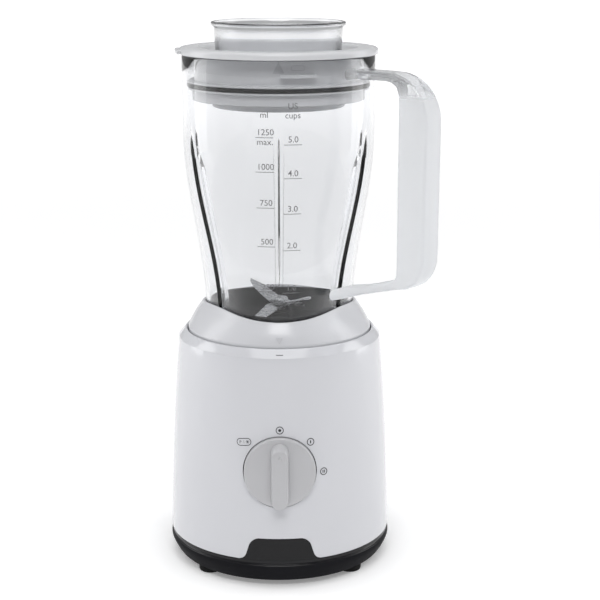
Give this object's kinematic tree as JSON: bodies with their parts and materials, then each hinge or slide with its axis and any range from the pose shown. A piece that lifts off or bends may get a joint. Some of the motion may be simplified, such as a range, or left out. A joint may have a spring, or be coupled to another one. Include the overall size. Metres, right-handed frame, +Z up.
{
  "type": "countertop blender",
  "caption": "Upright jug blender: tapered motor base with rotary control, clear fluted jug with D handle, twin cross blades, locking lid and measuring cup.",
  "frame": {"origin": "centre of the base pan's flat underside, on the drive axis; the feet reach 4 mm below it", "axes": "+Z up along the drive axis; -Y is the front, with the control knob; +X is to the right seen from the front"},
  "size_m": [0.1795, 0.1676, 0.3731],
  "materials": {
    "white_gloss": "glossy moulded white",
    "white_satin": "satin moulded off-white",
    "black_plastic": "fine matte moulded black",
    "black_gloss": "polished black",
    "grey_satin": "satin mid grey",
    "clear_plastic": "polished clear",
    "frosted_plastic": "frosted, clear at its ends",
    "rubber": "matte black rubber",
    "steel": "brushed stainless steel",
    "laminated_steel": "dark stamped steel",
    "copper": "enamelled copper",
    "bronze": "sintered bronze and brass",
    "carbon": "pressed carbon"
  },
  "bodies": {
    "base": {"motor_housing": "white_gloss", "front_panel": "black_gloss", "base_pan": "black_plastic", "pan_screw_1": "steel", "pan_screw_2": "steel", "pan_screw_3": "steel", "pan_screw_4": "steel", "foot_front_left": "rubber", "foot_front_right": "rubber", "foot_rear_left": "rubber", "foot_rear_right": "rubber", "cable_gland": "rubber", "deck_seal": "rubber", "motor_mount_1": "rubber", "motor_mount_2": "rubber", "motor_mount_3": "rubber", "upper_bracket": "laminated_steel", "lower_bracket": "laminated_steel", "motor_bolt_1": "steel", "motor_bolt_2": "steel", "upper_bearing": "steel", "lower_bearing": "steel", "stator_core": "laminated_steel", "field_coil_left": "copper", "field_coil_right": "copper", "brush_holder_left": "bronze", "brush_holder_right": "bronze", "carbon_brush_left": "carbon", "carbon_brush_right": "carbon", "switch_plate": "black_plastic", "switch_frame": "steel", "rotary_switch": "black_plastic", "interlock_switch": "black_plastic"},
    "rotor": {"motor_shaft": "steel", "armature_core": "laminated_steel", "armature_winding_upper": "copper", "armature_winding_lower": "copper", "commutator": "copper", "cooling_fan": "black_plastic", "drive_coupling": "black_plastic"},
    "knob": {"control_knob": "grey_satin", "knob_shaft": "steel"},
    "interlock": {"interlock_pin": "grey_satin"},
    "jug": {"jug_body": "clear_plastic", "jug_handle": "frosted_plastic", "jug_collar": "white_satin", "jug_seal": "rubber", "blade_carrier": "black_plastic", "blade_bush": "bronze", "spindle_seal": "rubber"},
    "blades": {"blade_spindle": "steel", "lower_blade": "steel", "blade_spacer": "steel", "upper_blade": "steel", "blade_nut": "steel", "driven_coupling": "black_plastic"},
    "lid_ring": {"lid_seal": "rubber"},
    "lid": {"lid_body": "white_satin"},
    "cup": {"measuring_cup": "clear_plastic"}
  },
  "joints": [
    {"name": "motor_spin", "type": "hinge", "parent": "base", "child": "rotor", "pos_m": [0, 0, 0.1], "axis": [0, 0, 1], "continuous": true},
    {"name": "blade_spin", "type": "hinge", "parent": "jug", "child": "blades", "pos_m": [0, 0, 0.16], "axis": [0, 0, 1], "continuous": true},
    {"name": "knob_turn", "type": "hinge", "parent": "base", "child": "knob", "pos_m": [0, -0.07502, 0.0784], "axis": [0, 0.9996, -0.0297], "range_deg": [-50, 92]},
    {"name": "interlock_press", "type": "slide", "parent": "base", "child": "interlock", "axis": [0, 0, -1], "range_m": [0, 0.002], "stiffness_N_per_m": 300},
    {"name": "jug_lift", "type": "slide", "parent": "base", "child": "jug", "axis": [0, 0, 1], "range_m": [0, 0.12]},
    {"name": "lid_lift", "type": "slide", "parent": "jug", "child": "lid_ring", "axis": [0, 0, 1], "range_m": [0, 0.07]},
    {"name": "lid_turn", "type": "hinge", "parent": "lid_ring", "child": "lid", "pos_m": [0, 0, 0.34], "axis": [0, 0, 1], "range_deg": [0, 30]},
    {"name": "cup_lift", "type": "slide", "parent": "lid", "child": "cup", "axis": [0, 0, 1], "range_m": [0, 0.06]}
  ],
  "couplings": [
    {"joint": "blade_spin", "follows": "motor_spin", "ratio": 1}
  ]
}
